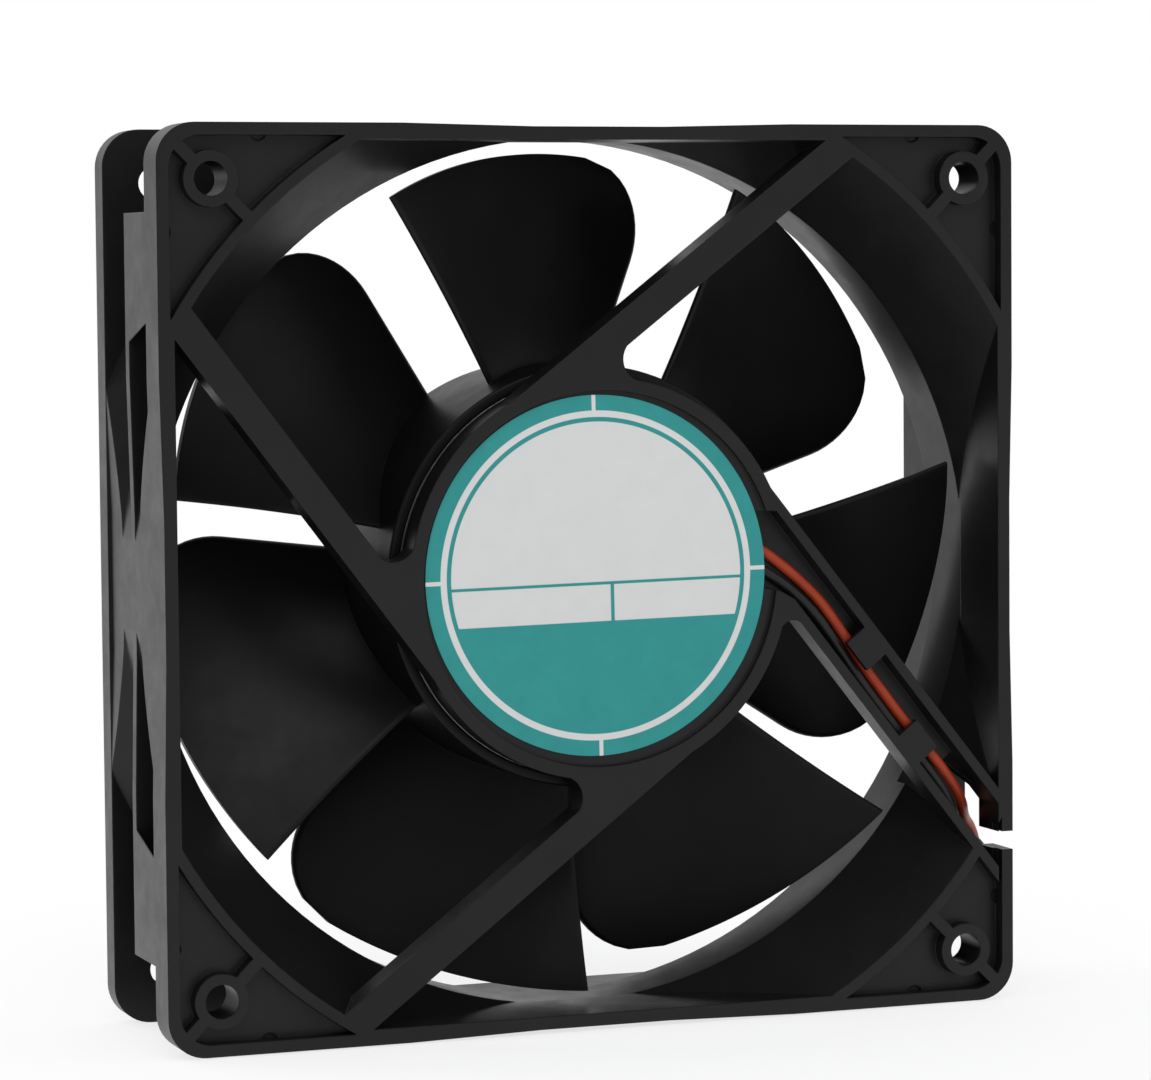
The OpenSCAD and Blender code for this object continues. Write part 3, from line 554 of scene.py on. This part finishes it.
def label_material():
    """Printed film without wording: a teal ring, a white line, white fields and plain lines."""
    n = Nodes("label_print")
    sep = n.add("ShaderNodeSeparateXYZ")
    n.link(n.coord, sep.inputs[0])

    def both(a, b):
        return n.math("MULTIPLY", a, b)

    def either(a, b):
        return n.math("MAXIMUM", a, b)

    def plus(a, b):
        return n.math("ADD", a, b)

    def outside(a):
        return n.math("SUBTRACT", 1.0, a)

    def step(value, edge):
        """0 below the edge and 1 above it, with the soft border of a print."""
        m = n.math("SUBTRACT", value, edge - PRINT_BORDER)
        return n.math("DIVIDE", m, 2 * PRINT_BORDER, clamp=True)

    def between(value, low, high):
        return both(step(value, low), outside(step(value, high)))

    x = n.math("SUBTRACT", both(sep.outputs[0], 1 / MM), LABEL_SHIFT[0])
    y = n.math("SUBTRACT", both(sep.outputs[2], 1 / MM), AXIS_Z + LABEL_SHIFT[1])
    r = n.math("SQRT", plus(both(x, x), both(y, y)))
    # The print is turned a little on the fan
    tilt = radians(LABEL_TILT)
    u = plus(both(x, cos(tilt)), both(y, sin(tilt)))
    v = plus(both(x, -sin(tilt)), both(y, cos(tilt)))
    field = outside(step(r, FIELD_R))
    upper = both(field, step(v, BAND_TOP))
    band = both(field, between(v, BAND_LOW, BAND_TOP - BAND_LINE))
    boxes = both(band, outside(between(u, *DIVIDER)))
    cross = either(between(u, -TICK_HALF, TICK_HALF), between(v, -TICK_HALF, TICK_HALF))
    ticks = both(step(r, TICK_START), cross)
    white = either(either(between(r, *WHITE_LINE), ticks), either(upper, boxes))
    cloud = n.noise(300, 5, 0.6, 0.2)
    teal = n.ramp(cloud, (0.020, 0.232, 0.225), (0.025, 0.260, 0.248))
    paper = n.ramp(cloud, (0.578, 0.576, 0.570), (0.600, 0.598, 0.592))
    ripple = n.bump(n.noise(60, 3, 0.5, 0.3), 0.06, 0.0002)
    n.drive(Base_Color=n.mix(white, teal, paper),
            Roughness=n.spread(n.noise(90, 5, 0.6, 0.4), 0.34, 0.5),
            Normal=n.bump(n.noise(1500, 2, 0.5), 0.06, 0.00002, ripple),
            Specular_IOR_Level=0.25)
    return n.mat


dress("label", label_material())
dress("frame", frame_black)

steel = metal("ground_steel", (0.50, 0.51, 0.53), (0.62, 0.63, 0.65), (0.16, 0.3), (1, 12, 1))
polished = metal("polished_steel", (0.66, 0.67, 0.69), (0.76, 0.77, 0.79), (0.06, 0.14))
drawn = metal("drawn_steel", (0.38, 0.39, 0.41), (0.5, 0.51, 0.53), (0.28, 0.45), (1, 14, 1))
lamination = metal("lamination_steel", (0.26, 0.27, 0.29), (0.4, 0.41, 0.43), (0.35, 0.55),
                   (0.2, 30, 0.2), 300, 0.4)
brass = metal("turned_brass", (0.62, 0.42, 0.15), (0.76, 0.54, 0.22), (0.18, 0.32), (1, 16, 1))
tin = metal("tin_plate", (0.58, 0.59, 0.61), (0.7, 0.71, 0.73), (0.16, 0.34))
can = metal("capacitor_can", (0.5, 0.51, 0.55), (0.66, 0.67, 0.7), (0.22, 0.36))
nylon = plastic("natural_nylon", (0.66, 0.63, 0.53), (0.76, 0.73, 0.64), (0.38, 0.55), 900, 0.12,
                0.0001)
epoxy = plastic("chip_epoxy", (0.02, 0.02, 0.023), (0.035, 0.035, 0.04), (0.5, 0.7), 1600, 0.3,
                0.00008)
ferrite = plastic("bonded_ferrite", (0.035, 0.034, 0.036), (0.06, 0.058, 0.06), (0.5, 0.72), 1300,
                  0.35, 0.00015)
board = plastic("solder_resist", (0.018, 0.115, 0.04), (0.03, 0.17, 0.062), (0.22, 0.4), 700, 0.15,
                0.0001)
putty = plastic("set_putty", (0.10, 0.19, 0.085), (0.17, 0.28, 0.14), (0.55, 0.8), 500, 0.5, 0)
housing = plastic("housing_nylon", (0.66, 0.63, 0.54), (0.77, 0.74, 0.65), (0.36, 0.5), 900, 0.1,
                  0.00012)


def winding_material():
    """Enamelled copper: close ridges of wire round each tooth, with painted shade that darkens the
    colour in the grooves between the turns.
    """
    n = Nodes("enamelled_copper")
    bands = []
    for axis in ("X", "Z"):
        wave = n.add("ShaderNodeTexWave", wave_type="BANDS", bands_direction=axis)
        n.link(n.coord, wave.inputs["Vector"])
        wave.inputs["Scale"].default_value = 900
        wave.inputs["Distortion"].default_value = 0.6
        wave.inputs["Detail"].default_value = 2
        bands.append(wave.outputs["Fac"])
    ridge_and_groove_shade = n.math("MULTIPLY", *bands)
    # The colour follows the ridges: it is darker in the grooves between the turns, which is
    # painted shade.
    n.drive(Base_Color=n.ramp(ridge_and_groove_shade, (0.30, 0.09, 0.03), (0.72, 0.28, 0.1), (0.0, 0.6)),
            Roughness=n.spread(n.noise(200), 0.2, 0.36), Normal=n.bump(ridge_and_groove_shade, 0.7, 0.0001),
            Metallic=1.0)
    return n.mat


copper = winding_material()
FINISH = {
    "bearing_tube": brass, "shaft_bushing": brass, "front_bearing_cage": brass,
    "rear_bearing_cage": brass, "circuit_board": board, "driver_ic": epoxy,
    "hall_sensor": epoxy, "diode": epoxy, "resistors": epoxy, "capacitor": can,
    "stator_core": lamination, "front_insulator": nylon, "rear_insulator": nylon,
    "winding_1": copper, "winding_2": copper, "winding_3": copper, "winding_4": copper,
    "winding_pins": tin, "lead_solder": tin, "front_bearing_outer_race": steel,
    "front_bearing_inner_race": steel, "front_bearing_shields": steel,
    "rear_bearing_outer_race": steel, "rear_bearing_inner_race": steel,
    "rear_bearing_shields": steel, "front_bearing_balls": polished,
    "rear_bearing_balls": polished, "shaft": polished, "rotor_yoke": drawn,
    "rotor_magnet": ferrite, "preload_spring": steel, "retaining_clip": steel,
    "balance_putty": putty, "connector_housing": housing, "connector_terminals": tin,
}
for node, mat in FINISH.items():
    dress(node, mat)


# --- Floor, background and lamps -----------------------------------------------------------------

# What gloss sees along Y, from the label's side (0) to the backdrop (1), and how bright it is
ROOM = ((0.0, 0.45), (0.3, 0.2), (0.6, 0.15), (0.84, 0.8))
AMBIENT = 0.85
WHITE_FROM, WHITE_AT = 0.04, 0.15    # how far from the middle the floor turns white, m
FLOOR_HALF, FLOOR_DROP = 6, 0.0002   # m


def make_world():
    scene.world = bpy.data.worlds.new("studio")
    t = Tree(scene.world)
    t.tree.nodes.clear()
    # Gloss sees the white backdrop behind the fan, dim walls beside it and a grey room in front
    axes = t.add("ShaderNodeSeparateXYZ")
    t.link(t.add("ShaderNodeTexCoord").outputs["Generated"], axes.inputs[0])
    along = t.add("ShaderNodeMapRange")
    along.inputs["From Min"].default_value = -1.0
    t.link(axes.outputs["Y"], along.inputs["Value"])
    room = t.add("ShaderNodeValToRGB")
    stops = room.color_ramp.elements
    for place, _ in ROOM[2:]:
        stops.new(place)
    for stop, (place, level) in zip(stops, ROOM, strict=True):
        stop.position = place
        stop.color = (level, level, level, 1)
    t.link(along.outputs["Result"], room.inputs[0])
    # The camera itself sees plain white
    glossy = t.add("ShaderNodeLightPath").outputs["Is Glossy Ray"]
    less = t.math("SUBTRACT", room.outputs["Color"], 1.0)
    seen = t.add("ShaderNodeBackground")
    seen.inputs["Color"].default_value = (1, 1, 1, 1)
    t.link(t.math("ADD", t.math("MULTIPLY", glossy, less), 1.0), seen.inputs["Strength"])
    light = t.add("ShaderNodeBackground")
    light.inputs["Color"].default_value = (0.97, 0.985, 1, 1)
    light.inputs["Strength"].default_value = AMBIENT
    t.blend(t.camera_sees(), light.outputs[0], seen.outputs[0], t.add("ShaderNodeOutputWorld"))


def make_floor():
    n = Nodes("floor_paper")
    n.drive(Base_Color=n.ramp(n.noise(6, 4), (0.88, 0.88, 0.88), (0.91, 0.91, 0.91)),
            Roughness=0.9, Specular_IOR_Level=0.1)
    # Away from the object the paper turns to the background's white, so that no horizon shows
    away = n.add("ShaderNodeVectorMath", operation="LENGTH")
    n.link(n.coord, away.inputs[0])
    white = n.spread(away.outputs["Value"], 0.72, 1.0, (WHITE_FROM, WHITE_AT))
    glow = n.add("ShaderNodeEmission")
    glow.inputs["Strength"].default_value = 1.0
    n.blend(n.math("MULTIPLY", n.camera_sees(), white), n.bsdf.outputs[0], glow.outputs[0],
            n.tree.nodes["Material Output"])
    me = bpy.data.meshes.new("floor")
    corners = ((-1, -1), (1, -1), (1, 1), (-1, 1))
    me.from_pydata([(x * FLOOR_HALF, y * FLOOR_HALF, -FLOOR_DROP) for x, y in corners], [],
                   [(0, 1, 2, 3)])
    new_object("floor", me, n.mat)


def lamp(name, place, size, power):
    """An area lamp that points at the middle of the fan."""
    data = bpy.data.lights.new(name, "AREA")
    data.shape = "RECTANGLE"
    data.size, data.size_y = size
    data.energy = power
    obj = bpy.data.objects.new(name, data)
    scene.collection.objects.link(obj)
    obj.location = place
    aim = Vector((0, 0, AXIS_Z * MM)) - Vector(place)
    obj.rotation_euler = aim.to_track_quat("-Z", "Y").to_euler()


make_world()
make_floor()
lamp("key", (-0.2, -0.8, 0.95), (0.6, 0.5), 3.0)
lamp("fill", (0.8, -0.6, 0.4), (0.5, 0.7), 1.2)
lamp("rim", (-0.55, 0.5, 0.6), (0.5, 0.5), 2.2)

scene.view_settings.view_transform = "Standard"
